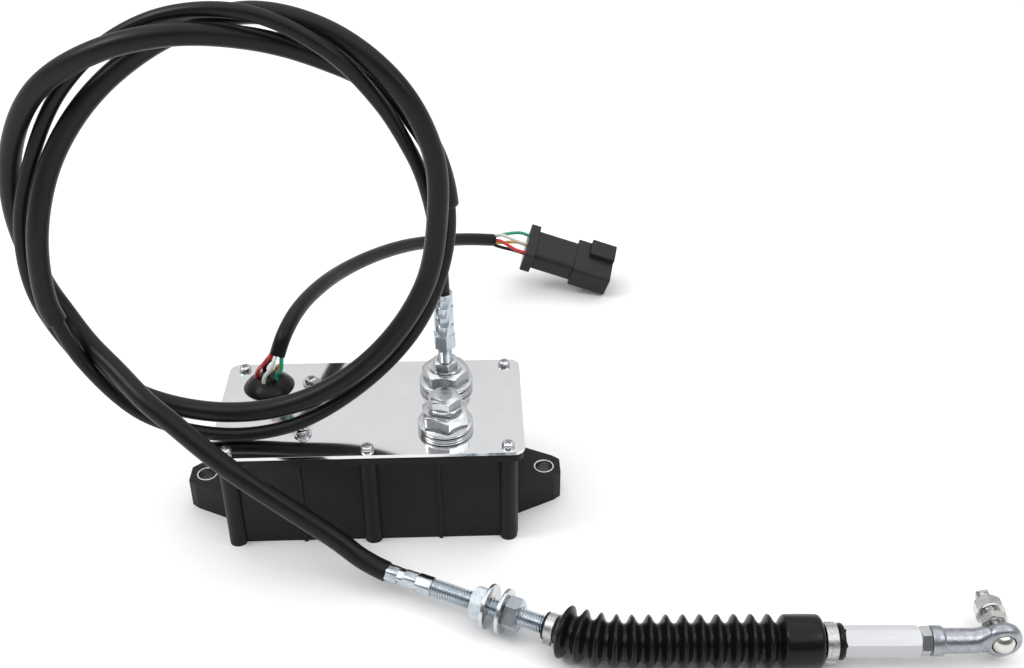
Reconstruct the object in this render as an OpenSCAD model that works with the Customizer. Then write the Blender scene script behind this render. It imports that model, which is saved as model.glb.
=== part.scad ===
// Throttle motor: a geared motor in a box that pushes and pulls a long control cable.
// Millimetres, +X to the right along the box, +Y to its back, +Z up.
// The origin is the middle of the box's bottom, on the floor.

/* [Box] */
// Length of the cover plate along X
plate_l = 170; // [150:1:190]
// Breadth of the cover plate along Y
plate_b = 88; // [80:1:100]
// Thickness of the cover plate
plate_t = 2; // [1:0.5:4]
// Height of the box from its bottom to the top of the cover plate
box_h = 64; // [58:1:80]
// Corner radius of the cover plate
plate_r = 6; // [3:0.5:10]
// Thickness of the flat seal under the cover plate
gasket_t = 1; // [0.5:0.25:2]
// How far the box's end walls stand inside the cover's edge
end_step = 3.5; // [2.5:0.25:6]
// How far the box's long walls stand inside the cover's edge
side_step = 5; // [4:0.25:7]
// Wall thickness of the moulded box
wall_t = 2.5; // [1.5:0.25:4]
// Thickness of the moulded box's floor
floor_t = 3; // [2:0.5:5]
// Height of the rim that carries the cover
rim_h = 4; // [2:0.5:8]
// How far the rim stays inside the cover's edge
rim_inset = 0.8; // [0:0.1:2]

/* [Cover screws] */
// X distance of the corner screws from the cover's edge
screw_edge_x = 9; // [7:0.5:12]
// Y distance of the cover screws from the cover's edge
screw_edge_y = 5.5; // [4.5:0.25:8]
// Radius of the screw posts moulded on the walls
post_r = 5; // [4:0.25:7]
// Radius of the cover screws' threads
screw_r = 1.95; // [1.5:0.05:2.5]
// Radius of the cover screws' heads
head_r = 3.6; // [3:0.1:4.5]
// Height of the cover screws' heads
head_h = 2.8; // [2:0.1:4]
// Length of the cover screws below their heads
screw_l = 14; // [10:0.5:20]
// Radial room round a screw in its hole
screw_fit = 0.05; // [0.02:0.01:0.1]

/* [Mounting ears] */
// X distance of the ear holes from the box's end walls
ear_out = 16.5; // [13:0.5:22]
// Height of the ears
ear_h = 18; // [12:0.5:24]
// Outer radius of the steel bushes in the ears
ear_bush_r = 6; // [5:0.25:8]
// Radius of the ear holes
ear_hole_r = 5; // [3:0.25:6.5]
// Half breadth of an ear at the box
ear_root = 22; // [16:0.5:28]
// Half breadth of an ear at its tip
ear_tip_b = 6; // [4:0.5:10]
// X distance of the ear tips from the ear holes
ear_tip_out = 9.5; // [8:0.5:14]

/* [Ports] */
// X distance of the two cable ports from the cover's edge
port_edge = 43; // [36:0.5:48]
// Y distance of the ports from the middle, which is also the drum's wire radius
port_y = 20; // [16:0.5:24]
// Outer radius of the threaded port bushes
port_r = 8; // [6:0.5:10]
// Across flats of the port nuts
port_af = 24; // [20:0.5:27]
// Height of the port nuts
port_nut_h = 8; // [6:0.5:10]
// Outer radius of the port washers
port_washer_r = 15.25; // [13:0.25:17]
// Thickness of the port washers
port_washer_t = 1.6; // [1:0.1:2.5]
// Thickness of the rubber ring between the port washers
port_seal_t = 1.1; // [0.5:0.1:2]
// Across flats of the locknuts inside the box
locknut_af = 22; // [20:0.5:26]
// Height of the locknuts inside the box
locknut_h = 6; // [4:0.5:8]
// Radius of the threaded stud of the cable's near fitting
stud_r = 4; // [3:0.25:5]

/* [Motor] */
// Radius of the motor can and the gearhead
can_r = 21; // [16:0.5:24]
// Room between the motor can and the box's end wall, for its terminals
can_room = 7; // [6:0.5:12]
// Length of the gearhead
gear_l = 38.5; // [30:0.5:45]
// X distance from the gearhead's face to the ports
gear_port = 25.5; // [22:0.5:30]
// Radius of the output shaft
shaft_r = 4; // [3:0.25:6]
// Radial room of the shaft in its bearings
shaft_fit = 0.05; // [0.02:0.01:0.1]

/* [Drum] */
// Breadth of the cable drum along X
drum_w = 9; // [7:0.5:12]
// Outer radius of the drum's flanges
drum_r = 22; // [21:0.25:24]
// Room between the drum and the locknuts above it
drum_room = 1; // [0.5:0.25:3]
// Radius of the core wire
wire_r = 1.25; // [0.75:0.05:1.5]

/* [Far end of the cable] */
// Radius of the threaded hub
hub_r = 4.9; // [4:0.1:6]
// Across flats of the hub nuts
hub_af = 16; // [14:0.5:19]
// Direction of the hub in plan, in degrees
hub_ang = -26.6; // [-40:0.1:0]
// Direction of the rod in plan, in degrees
rod_ang = -1.6; // [-10:0.1:10]
// Height of the hub and rod axis above the floor
rod_z = 14; // [14:0.5:16]
// Radius of the boot at its peaks
boot_peak = 13.7; // [12:0.1:13.9]
// Radius of the boot at its valleys
boot_valley = 9.4; // [8:0.1:11]
// Length of one fold of the boot
boot_pitch = 8.5; // [7:0.1:10]
// Number of folds of the boot
boot_folds = 13; // [10:1:16]
// Wall of the boot
boot_t = 1.2; // [0.8:0.1:2]
// Across flats of the aluminium rod
rod_af = 14; // [12:0.5:16]
// Radius of the ball in the rod end
ball_r = 6.5; // [5:0.25:8]
// Outer radius of the rod end's eye
eye_r = 10; // [9:0.25:12]

/* [Cables] */
// Radius of the bare cable conduit
conduit_r = 3.75; // [3:0.05:5]
// Radius of the conduit where a sleeve covers it
sleeve_r = 5.5; // [5:0.05:7]
// Radius of the wire harness sheath
sheath_r = 4.5; // [4:0.1:5.5]
// Radius of one insulated wire
lead_r = 1.2; // [0.8:0.05:1.5]

/* [Hidden] */
$fn = 48;
rim_z = box_h - plate_t - gasket_t;
cover_z = box_h - plate_t;
body_l = plate_l - 2 * end_step;
body_b = plate_b - 2 * side_step;
screw_x = plate_l / 2 - screw_edge_x;
screw_y = plate_b / 2 - screw_edge_y;
ear_x = body_l / 2 + ear_out;
ear_tip = ear_x + ear_tip_out;
port_x = plate_l / 2 - port_edge;
post_y = screw_y - 0.5;
screw_places = [[-screw_x, -screw_y], [-screw_x, screw_y], [0, -screw_y], [0, screw_y],
    [screw_x, -screw_y], [screw_x, screw_y]];
rib_x = screw_x / 2;
web_t = 2.5;
web_z = cover_z - web_t;
axis_z = web_z - locknut_h - drum_r - drum_room;
can_x0 = wall_t - body_l / 2 + can_room;
gear_x1 = port_x - gear_port;
gear_x0 = gear_x1 - gear_l;
strap_x = (can_x0 + gear_x0) / 2 + 11;
strap_y = can_r + 3;
strap_half = 8;
strap_t = 1.6;
strap_flange_t = 3;
grommet_x = 25 - plate_l / 2;
grommet_y = plate_b / 2 - 22;
grommet_neck_r = 11;
grommet_r = 14.5;
web_b = port_y + 12;
leg_t = 2.5;
leg_z = axis_z - 20.5;
gear_screw_r = can_r - 5;
sensor_screw_r = 16;
front_leg_x = gear_x1;
rear_leg_x = port_x + 18;
drum_x = port_x - drum_w / 2;
port_stack = box_h + 2 * port_washer_t + port_seal_t;
port_top = port_stack + port_nut_h;
// Height of the fitting's hexagon, and its pressed rings as [above it, length, radius, turn]
stud_hex_z = port_top + 14.7;
crimps = [[8, 8, 5.9, 30], [15, 7, 5.5, 8], [21, 7, 5.7, 34], [27, 8.4, 5.2, 3]];
hub_tip = [91.8, -121.5, rod_z];
hose_s = -91;
thread_s = -64.3;
neck_s = 7;
// Four equal turns of the boot's axis, at the valleys after its first four folds
turn = (rod_ang - hub_ang) / 4;
first_turn_s = neck_s + boot_pitch;
swivel_s = first_turn_s + bend_reach();
hub_dir = [cos(hub_ang), sin(hub_ang), 0];
rod_dir = [cos(rod_ang), sin(rod_ang), 0];
swivel = hub_tip + swivel_s * hub_dir;
straight_u = bend_reach();
cuff_u = straight_u + (boot_folds - 4) * boot_pitch;
boot_neck_u = cuff_u + 22;
boot_end_u = boot_neck_u + 11;
stroke = 50;
sleeve_end_u = boot_neck_u - 2 - stroke - 1;
rod_tip_u = stroke - 4.5;
hex_u = boot_end_u;
jam_u = hex_u + 38;
socket_u = jam_u + 5.5;
eye_u = socket_u + 36.5;
// The plug stands on its nose's near edge: roll, pitch and yaw of its axis, and its axes
plug_back = [96, 239.8, 23.7];
plug_turn = [17.2, 16.6, -7.9];
plug_b = 32.6;
plug_h = 18.2;
plug_l = 65;
plug_step = 37;
plug_mid_z = plug_h / 2;
plug_dir = plug_axis([1, 0, 0]);
plug_left = plug_axis([0, 1, 0]);
plug_up = plug_axis([0, 0, 1]);
lead_ring = 6.2;
sheath_gap = 0.8;
sensor_pin_x = rear_leg_x + leg_t + 14.8;

// A direction in the plug's own frame, turned into the assembly's
function rolled(v, a) = [v[0], v[1] * cos(a) - v[2] * sin(a), v[1] * sin(a) + v[2] * cos(a)];
function pitched(v, a) = [v[0] * cos(a) + v[2] * sin(a), v[1], v[2] * cos(a) - v[0] * sin(a)];
function yawed(v, a) = [v[0] * cos(a) - v[1] * sin(a), v[0] * sin(a) + v[1] * cos(a), v[2]];
function plug_axis(v) = yawed(pitched(rolled(v, plug_turn[0]), plug_turn[1]), plug_turn[2]);

// Distance from the first or last turn to the point where the hub's and the rod's axes meet
function chord() = norm([for (k = [0, 1])
    boot_pitch * (k == 0 ? cos(turn) + cos(2 * turn) + cos(3 * turn)
        : sin(turn) + sin(2 * turn) + sin(3 * turn))]);
function bend_reach() = chord() / 2 / cos(2 * turn);

// Place k of the boot's bent part, and its direction, for folds 1 to 4
function fold_dir(k) = hub_ang + turn * k;
function fold_at(k) = k == 0 ? hub_tip + neck_s * hub_dir
    : fold_at(k - 1) + boot_pitch * [cos(fold_dir(k - 1)), sin(fold_dir(k - 1)), 0];

// The standing coil, as angle round its middle, radius and depth
coil_mid = [-60, 184];
coil = [[20, 94, 10], [40, 97.5, 1], [60, 105, -5], [80, 110, -3], [100, 109, 2],
    [120, 106, 6], [140, 104, 5], [160, 103.5, 0], [180, 109, -3], [200, 117, -4],
    [220, 122, -6], [225, 121, -8], [226, 120.5, -8.5], [240, 116.5, -14], [260, 107, -22],
    [280, 103, -22], [300, 100, -19], [320, 99, -14], [340, 100, -9], [360, 101, -7],
    [380, 107, -5], [400, 111, -3], [420, 110, 5], [440, 106, 10.5], [460, 98, 11],
    [480, 93, 8], [500, 92, 3], [520, 94, -4], [540, 98, -13], [560, 107, -15],
    [567, 109.5, -15.5], [568, 110, -16], [580, 115, -17.5], [600, 119.5, -25],
    [620, 117, -28.5], [640, 113.5, -26.5], [660, 112, -13], [680, 111, -1], [700, 108, 3],
    [720, 107, 6], [721, 107, 6.2], [740, 105, 9], [760, 99.5, 14.5], [780, 94.5, 10.5],
    [800, 96.5, 1], [820, 103, -10], [840, 108, -10], [860, 113, -3], [880, 114.5, 5],
    [900, 115.5, 9.5], [920, 116, 9]];
// Angles between which a sleeve covers the conduit
sleeve_from = [225.5, 720.5];
sleeve_to = [567.5, 2000];
lead_in = [[port_x, port_y, stud_hex_z + 14], [port_x, port_y, stud_hex_z + 37],
    [41, 20, 150], [39, 19, 168], [36.8, 17, 184], [33, 13.5, 202]];
lead_out = [[-159.5, 4.5, 127], [-147, -7, 116], [-130, -22, 107], [-112, -39, 98.5],
    [-98, -47, 90], [-84, -54, 80], [-69, -60, 69], [-52, -64, 56], [-34, -67, 42],
    [-16, -70.5, 28], [-3, -75, 18.5]];
coil_points = [for (c = coil)
    [coil_mid[0] + c[1] * cos(c[0]), c[2], coil_mid[1] + c[1] * sin(c[0])]];
hose_end = hub_tip + hose_s * hub_dir;
cable_points = concat(lead_in, coil_points, lead_out, [hose_end]);
// Whether a sleeve covers the conduit at an angle of the coil
function sleeved(a) = (a > sleeve_from[0] && a < sleeve_to[0]) || a > sleeve_from[1];
cable_radii = concat([for (p = lead_in) conduit_r],
    [for (c = coil) sleeved(c[0]) ? sleeve_r : conduit_r],
    [for (p = lead_out) sleeve_r], [sleeve_r]);
sheath_points = [[-53, 20, 86.4], [-49.4, 25, 95.2], [-45.2, 36, 100.3], [-40, 54, 100.6],
    [-32, 79, 97.1], [-22.1, 107, 90.4], [-7.6, 137, 82.4], [9.4, 165, 73.5],
    [25.2, 187, 64.6], [47.2, 211, 53.3], [59.5, 222.5, 46.9], [73.3, 233, 40.3]];
cord_sides = 8;

// Unit vector, and the direction of a path at one of its points
function unit(v) = v / norm(v);
function path_dir(p, k, first, last) = k == 0 ? unit(first)
    : k == len(p) - 1 ? unit(last)
    : unit(unit(p[k + 1] - p[k]) + unit(p[k] - p[k - 1]));
// Frames carried along a path without twist
function carried(p, first, last, k = 0, side = [1, 0, 0], found = []) = k == len(p) ? found
    : let (d = path_dir(p, k, first, last), s = unit(side - (side * d) * d))
        carried(p, first, last, k + 1, s, concat(found, [[s, cross(d, s)]]));
// A cord of n sides through points p with radius r[k] at point k
module cord(p, r, first, last, n = cord_sides) {
    frames = carried(p, first, last);
    rings = [for (k = [0:len(p) - 1]) for (i = [0:n - 1])
        p[k] + r[k] * (cos(360 * i / n) * frames[k][0] + sin(360 * i / n) * frames[k][1])];
    walls = [for (k = [0:len(p) - 2]) for (i = [0:n - 1])
        [n * k + i, n * k + (i + 1) % n, n * (k + 1) + (i + 1) % n]];
    walls_b = [for (k = [0:len(p) - 2]) for (i = [0:n - 1])
        [n * k + i, n * (k + 1) + (i + 1) % n, n * (k + 1) + i]];
    near = [[for (i = [n - 1:-1:0]) i]];
    far = [[for (i = [0:n - 1]) n * (len(p) - 1) + i]];
    polyhedron(points = rings, faces = [for (f = concat(walls, walls_b, near, far))
        [for (i = [len(f) - 1:-1:0]) f[i]]]);
}

// A six-sided wire through points
module bent_wire(p) {
    n = len(p);
    cord(p, [for (q = p) lead_r], p[1] - p[0], p[n - 1] - p[n - 2], 6);
}

// A block with round upright corners
module round_block(l, b, h, r) {
    linear_extrude(height = h) {
        square([l - 2 * r, b], center = true);
        square([l, b - 2 * r], center = true);
        for (x = [-1, 1]) for (y = [-1, 1])
            translate([x * (l / 2 - r), y * (b / 2 - r)]) circle(r = r);
    }
}

// A round bar along X on the motor's axis
module axis_bar(x0, x1, r) {
    translate([x0, 0, axis_z]) rotate([0, 90, 0]) cylinder(h = x1 - x0, r = r);
}

// A hexagon prism along Z
module hexagon(af, h) {
    cylinder(h = h, r = af / 2 / cos(30), $fn = 6);
}

// Things placed along the hub's axis, with X from its tip
module on_hub() {
    translate(hub_tip) rotate([0, 0, hub_ang]) children();
}

// Things placed along the rod's axis, with X from the swivel's middle
module on_rod() {
    translate(swivel) rotate([0, 0, rod_ang]) children();
}

// A round bar, tube or hexagon along X
module along(x0, x1, r) {
    translate([x0, 0, 0]) rotate([0, 90, 0]) cylinder(h = x1 - x0, r = r);
}

module hex_along(x0, x1, af) {
    translate([x0, 0, 0]) rotate([0, 90, 0]) rotate([0, 0, 30]) hexagon(af, x1 - x0);
}

module housing() {
    color("#1b1b1d")
        difference() {
            union() {
                round_block(body_l, body_b, rim_z, 4);
                translate([0, 0, rim_z - rim_h])
                    round_block(plate_l - 2 * rim_inset, plate_b - 2 * rim_inset, rim_h,
                        plate_r - rim_inset);
                for (p = screw_places)
                    translate([p[0], sign(p[1]) * post_y, 0]) cylinder(h = rim_z, r = post_r);
                for (x = [-rib_x, rib_x])
                    translate([x - 1, -body_b / 2 - 1.2, 0]) cube([2, body_b + 2.4, rim_z]);
                for (s = [-1, 1])
                    linear_extrude(height = ear_h)
                        polygon([[s * (body_l / 2 - 2), -ear_root],
                            [s * (ear_tip - 4), -ear_tip_b - 3.5], [s * ear_tip, -ear_tip_b],
                            [s * ear_tip, ear_tip_b], [s * (ear_tip - 4), ear_tip_b + 3.5],
                            [s * (body_l / 2 - 2), ear_root]]);
            }
            difference() {
                translate([0, 0, floor_t])
                    round_block(body_l - 2 * wall_t, body_b - 2 * wall_t, box_h, 2);
                for (p = screw_places)
                    translate([p[0], sign(p[1]) * post_y, 0]) cylinder(h = box_h, r = post_r);
            }
            for (p = screw_places)
                translate([p[0], p[1], rim_z - screw_l])
                    cylinder(h = screw_l + 1, r = screw_r + screw_fit);
            for (s = [-1, 1])
                translate([s * ear_x, 0, -1]) cylinder(h = ear_h + 2, r = ear_bush_r);
        }
}

module ear_bushes() {
    color("#b9bcc0")
        for (s = [-1, 1])
            translate([s * ear_x, 0, 0])
                difference() {
                    cylinder(h = ear_h, r = ear_bush_r);
                    translate([0, 0, -1]) cylinder(h = ear_h + 2, r = ear_hole_r);
                }
}

module gasket() {
    color("#101012")
        translate([0, 0, rim_z])
            difference() {
                round_block(plate_l - 0.6, plate_b - 0.6, gasket_t, plate_r - 0.3);
                difference() {
                    translate([0, 0, -1])
                        round_block(body_l - 2 * wall_t, body_b - 2 * wall_t, 3, 2);
                    for (p = screw_places)
                        translate([p[0], sign(p[1]) * post_y, -2])
                            cylinder(h = 6, r = post_r);
                }
                for (p = screw_places)
                    translate([p[0], p[1], -1]) cylinder(h = 3, r = screw_r + screw_fit);
            }
}

module cover_plate() {
    color("#d7dadd")
        translate([0, 0, cover_z])
            difference() {
                round_block(plate_l, plate_b, plate_t, plate_r);
                for (p = screw_places)
                    translate([p[0], p[1], -1]) cylinder(h = 4, r = screw_r + screw_fit);
                for (s = [-1, 1])
                    translate([strap_x, s * strap_y, -1])
                        cylinder(h = 4, r = screw_r + screw_fit);
                for (s = [-1, 1])
                    translate([port_x, s * port_y, -1]) cylinder(h = 4, r = port_r);
                translate([grommet_x, grommet_y, -1]) cylinder(h = 4, r = grommet_neck_r);
            }
}

// A pan head screw whose head stands on z = 0, with a cross recess
module pan_screw(length) {
    difference() {
        union() {
            translate([0, 0, -length]) cylinder(h = length + 0.5, r = screw_r);
            cylinder(h = head_h * 0.6, r = head_r);
            translate([0, 0, head_h * 0.6])
                cylinder(h = head_h * 0.4, r1 = head_r, r2 = head_r - 1);
        }
        for (a = [0, 90])
            rotate([0, 0, a])
                translate([-2, -0.45, head_h - 1.5]) cube([4, 0.9, 3]);
    }
}

module cover_screws() {
    color("#c9ccd0")
        for (p = screw_places) translate([p[0], p[1], box_h]) pan_screw(screw_l);
}

module strap_washers() {
    color("#c9ccd0")
        for (s = [-1, 1])
            translate([strap_x, s * strap_y, box_h])
                difference() {
                    cylinder(h = 1, r = 5);
                    translate([0, 0, -1]) cylinder(h = 3, r = screw_r + screw_fit);
                }
}

module strap_screws() {
    color("#c9ccd0")
        for (s = [-1, 1])
            translate([strap_x, s * strap_y, box_h + 1])
                pan_screw(plate_t + strap_flange_t + 1);
}

module motor_strap() {
    top = cover_z - strap_flange_t;
    color("#a9adb2")
        difference() {
            union() {
                intersection() {
                    axis_bar(strap_x - strap_half, strap_x + strap_half, can_r + strap_t);
                    translate([strap_x - strap_half, -can_r - strap_t - 1, 0])
                        cube([2 * strap_half, 2 * (can_r + strap_t + 1), axis_z]);
                }
                for (s = [-1, 1]) {
                    translate([strap_x - strap_half, s * (can_r + strap_t / 2) - strap_t / 2,
                        axis_z])
                        cube([2 * strap_half, strap_t, top - axis_z + 1]);
                    translate([strap_x - strap_half, s * (strap_y + 2) - 5, top])
                        cube([2 * strap_half, 10, strap_flange_t]);
                }
            }
            axis_bar(strap_x - strap_half - 1, strap_x + strap_half + 1, can_r);
            for (s = [-1, 1])
                translate([strap_x, s * strap_y, top - 1])
                    cylinder(h = strap_flange_t + 2, r = screw_r + screw_fit);
        }
}

module motor_pad() {
    color("#151517")
        difference() {
            translate([strap_x - strap_half, -9, axis_z + 15])
                cube([2 * strap_half, 18, cover_z - axis_z - 15]);
            axis_bar(strap_x - strap_half - 1, strap_x + strap_half + 1, can_r);
        }
}

module motor() {
    color("#8f9499") axis_bar(can_x0, gear_x0, can_r);
}

module motor_end_bell() {
    color("#2a2c30") {
        axis_bar(can_x0 - 2.5, can_x0, can_r - 1);
        for (s = [-1, 1])
            translate([can_x0 - 4, s * 9 - 1.5, axis_z + 3]) cube([2, 3, 5]);
    }
}

module gearhead() {
    color("#9ea3a8")
        difference() {
            union() {
                axis_bar(gear_x0, gear_x1, can_r);
                axis_bar(gear_x1 - 1, front_leg_x + leg_t, 8);
            }
            axis_bar(2, gear_x1 + 5, shaft_r + shaft_fit);
            for (a = [45:90:315])
                translate([gear_x1, 0, axis_z]) rotate([a, 0, 0])
                    translate([-7, 0, gear_screw_r]) rotate([0, 90, 0]) cylinder(h = 8, r = 1.5);
        }
}

module gearhead_screws() {
    color("#c9ccd0")
        for (a = [45:90:315])
            translate([front_leg_x + leg_t, 0, axis_z]) rotate([a, 0, 0])
                translate([0, 0, gear_screw_r]) rotate([0, 90, 0]) {
                    cylinder(h = 2, r = 2.7);
                    translate([0, 0, -leg_t - 6]) cylinder(h = leg_t + 6.5, r = 1.45);
                }
}

module bracket() {
    color("#b4b8bc")
        difference() {
            union() {
                translate([front_leg_x, -web_b, web_z])
                    cube([rear_leg_x + leg_t - front_leg_x, 2 * web_b, web_t]);
                translate([front_leg_x, -can_r - 1, leg_z])
                    cube([leg_t, 2 * can_r + 2, web_z - leg_z + 1]);
                translate([rear_leg_x, -15, leg_z]) cube([leg_t, 30, web_z - leg_z + 1]);
            }
            for (s = [-1, 1])
                translate([port_x, s * port_y, web_z - 1]) cylinder(h = web_t + 2, r = port_r);
            axis_bar(front_leg_x - 1, front_leg_x + leg_t + 1, 8);
            axis_bar(rear_leg_x - 1, rear_leg_x + leg_t + 1, 6);
            for (a = [45:90:315])
                translate([front_leg_x - 1, 0, axis_z]) rotate([a, 0, 0])
                    translate([0, 0, gear_screw_r]) rotate([0, 90, 0])
                        cylinder(h = leg_t + 2, r = 1.5);
            for (s = [-1, 1])
                translate([rear_leg_x - 1, 0, axis_z + s * sensor_screw_r]) rotate([0, 90, 0])
                    cylinder(h = leg_t + 2, r = 1.5);
        }
}

module output_shaft() {
    color("#c3c6ca")
        difference() {
            union() {
                axis_bar(3, rear_leg_x + leg_t + 0.6, shaft_r);
                axis_bar(rear_leg_x + leg_t, rear_leg_x + leg_t + 9, 3);
            }
            translate([port_x - 4, -1.5, axis_z + shaft_r - 1.5]) cube([8, 3, 4]);
        }
}

module drum() {
    color("#d0a94f")
        difference() {
            translate([drum_x, 0, axis_z]) rotate([0, 90, 0])
                rotate_extrude()
                    difference() {
                        translate([shaft_r, 0]) square([drum_r - shaft_r, drum_w]);
                        translate([port_y, drum_w / 2]) circle(r = wire_r + 0.05);
                        translate([port_y, drum_w / 2 - wire_r - 0.05])
                            square([10, 2 * wire_r + 0.1]);
                    }
            translate([port_x - 4, -1.5, axis_z]) cube([8, 3, shaft_r + 1.5]);
            for (a = [30:60:330])
                translate([drum_x - 1, 0, axis_z]) rotate([a, 0, 0]) translate([0, 0, 12])
                    rotate([0, 90, 0]) cylinder(h = drum_w + 2, r = 3);
        }
}

module drum_key() {
    color("#8b8f94")
        translate([port_x - 4, -1.5, axis_z + shaft_r - 1.5]) cube([8, 3, 3]);
}

// The stretch of core wire that lies in the drum's groove
module wire_end() {
    color("#e0e2e4")
        translate([port_x, 0, axis_z]) rotate([90, 0, 90])
            rotate([0, 0, -40]) rotate_extrude(angle = 39)
                translate([port_y, 0]) circle(r = wire_r);
}

module shaft_bush() {
    color("#b98a3d")
        difference() {
            union() {
                axis_bar(rear_leg_x, rear_leg_x + leg_t, 6);
                axis_bar(rear_leg_x - 1.5, rear_leg_x, 7.5);
            }
            axis_bar(rear_leg_x - 2, rear_leg_x + leg_t + 1, shaft_r + shaft_fit);
        }
}

module position_sensor() {
    color("#23262b")
        difference() {
            union() {
                translate([rear_leg_x + leg_t, -12, axis_z - 12]) cube([11, 24, 24]);
                translate([rear_leg_x + leg_t, -6, axis_z - 20]) cube([3, 12, 40]);
                for (k = [-1, 0, 1])
                    translate([rear_leg_x + leg_t + 10, k * 5 - 0.8, axis_z - 8]) cube([3.6, 1.6, 3]);
            }
            axis_bar(rear_leg_x + leg_t - 1, rear_leg_x + leg_t + 0.7, 5);
            axis_bar(rear_leg_x + leg_t - 1, rear_leg_x + leg_t + 9.3, 3 + shaft_fit);
            for (s = [-1, 1])
                translate([rear_leg_x, 0, axis_z + s * sensor_screw_r]) rotate([0, 90, 0])
                    cylinder(h = leg_t + 4, r = 1.5);
        }
}

module sensor_screws() {
    color("#c9ccd0")
        for (s = [-1, 1])
            translate([rear_leg_x + leg_t + 3, 0, axis_z + s * sensor_screw_r]) rotate([0, 90, 0]) {
                cylinder(h = 2, r = 2.6);
                translate([0, 0, -leg_t - 3]) cylinder(h = leg_t + 3.5, r = 1.45);
            }
}

module core_wire() {
    color("#e0e2e4")
        translate([port_x, port_y, axis_z + 0.4])
            cylinder(h = stud_hex_z + 8.6 - axis_z, r = wire_r);
}

module port_locknuts() {
    color("#c9ccd0")
        for (s = [-1, 1])
            translate([port_x, s * port_y, web_z - locknut_h])
                difference() {
                    rotate([0, 0, 30]) hexagon(locknut_af, locknut_h);
                    translate([0, 0, -1]) cylinder(h = locknut_h + 2, r = port_r);
                }
}

module port_tube(bore, top) {
    translate([port_x, 0, web_z - locknut_h])
        difference() {
            cylinder(h = top - web_z + locknut_h, r = port_r);
            translate([0, 0, -1]) cylinder(h = 60, r = bore);
        }
}

module port_bush_rear() {
    color("#bcc0c4")
        translate([0, port_y, 0]) port_tube(stud_r, port_top);
}

module port_bush_front() {
    color("#bcc0c4")
        translate([0, -port_y, 0]) port_tube(5, port_top);
}

module port_washers() {
    color("#d2d5d8")
        for (s = [-1, 1]) for (z = [box_h, box_h + port_washer_t + port_seal_t])
            translate([port_x, s * port_y, z])
                difference() {
                    cylinder(h = port_washer_t, r = port_washer_r);
                    translate([0, 0, -1]) cylinder(h = port_washer_t + 2, r = port_r);
                }
}

module port_seals() {
    color("#141416")
        for (s = [-1, 1])
            translate([port_x, s * port_y, box_h + port_washer_t])
                difference() {
                    cylinder(h = port_seal_t, r = port_washer_r - 1.2);
                    translate([0, 0, -1]) cylinder(h = port_seal_t + 2, r = port_r);
                }
}

module port_nuts() {
    color("#c9ccd0")
        for (s = [-1, 1])
            translate([port_x, s * port_y, port_stack])
                difference() {
                    intersection() {
                        rotate([0, 0, s * 8 + 15]) hexagon(port_af, port_nut_h);
                        cylinder(h = port_nut_h, r1 = port_af / 2 + port_nut_h + 0.4,
                            r2 = port_af / 2 + 0.4);
                    }
                    translate([0, 0, -1]) cylinder(h = port_nut_h + 2, r = port_r);
                }
}

module port_ring() {
    color("#d2d5d8")
        translate([port_x, port_y, port_top])
            difference() {
                cylinder(h = 1.5, r = 9.5);
                translate([0, 0, -1]) cylinder(h = 4, r = stud_r);
            }
}

module blank_nut() {
    color("#c9ccd0")
        translate([port_x, -port_y, port_top])
            difference() {
                rotate([0, 0, 15]) hexagon(17, 2.6);
                translate([0, 0, -1]) cylinder(h = 5, r = 5);
            }
}

module blank_bolt() {
    color("#d2d5d8")
        translate([port_x, -port_y, port_top + 2.6]) {
            cylinder(h = 1.2, r = 9.6);
            intersection() {
                rotate([0, 0, 15]) hexagon(16, 6.2);
                cylinder(h = 6.2, r1 = 8 + 6.6, r2 = 8.4);
            }
            translate([0, 0, -18]) cylinder(h = 18.5, r = 5);
        }
}

module stud_nut_rear() {
    color("#c9ccd0")
        translate([port_x, port_y, port_top + 1.5])
            difference() {
                hexagon(13, 4);
                translate([0, 0, -1]) cylinder(h = 6, r = stud_r);
            }
}

// The crimped fitting of the conduit: stud, hexagon and pressed shell in one piece
module conduit_stud() {
    color("#c4cace")
        translate([port_x, port_y, stud_hex_z])
            difference() {
                union() {
                    translate([0, 0, -25]) cylinder(h = 26, r = stud_r);
                    hexagon(11.5, 9);
                    for (c = crimps)
                        translate([0, 0, c[0]]) rotate([0, 0, c[3]])
                            cylinder(h = c[1], r = c[2], $fn = 8);
                }
                translate([0, 0, -31]) cylinder(h = 50, r = wire_r + 0.05);
                translate([0, 0, 14]) cylinder(h = 30, r = conduit_r + 0.05);
            }
}

module conduit() {
    color("#161618") cord(cable_points, cable_radii, [0, 0, 1], hub_dir);
}

// The far fitting: pressed shell, threaded tube and swivel seat in one piece
module hub() {
    color("#b3c0cc")
        on_hub()
            difference() {
                union() {
                    translate([hose_s, 0, 0]) rotate([0, 90, 0])
                        cylinder(h = 9.5, r = 5.2, $fn = 8);
                    translate([hose_s + 9, 0, 0]) rotate([0, 90, 0]) rotate([0, 0, 22.5])
                        cylinder(h = 6.5, r = 4.7, $fn = 8);
                    translate([hose_s + 15, 0, 0]) rotate([0, 90, 0]) rotate([0, 0, 8])
                        cylinder(h = thread_s - hose_s - 14, r = 5.5, $fn = 8);
                    along(thread_s, swivel_s - 8, hub_r);
                    along(swivel_s - 9.5, swivel_s + 1.3, 6.6);
                }
                translate([swivel_s, 0, 0]) rotate([0, 90, 0]) sphere(r = 5.6);
                along(hose_s - 1, swivel_s, 2.2);
            }
}

module hub_nuts() {
    color("#bfc8d0")
        on_hub()
            for (s = [[-40, 12], [-21.5, 24]])
                difference() {
                    rotate([s[1], 0, 0]) hex_along(s[0], s[0] + 8, hub_af);
                    along(s[0] - 1, s[0] + 9, hub_r);
                }
}

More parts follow.
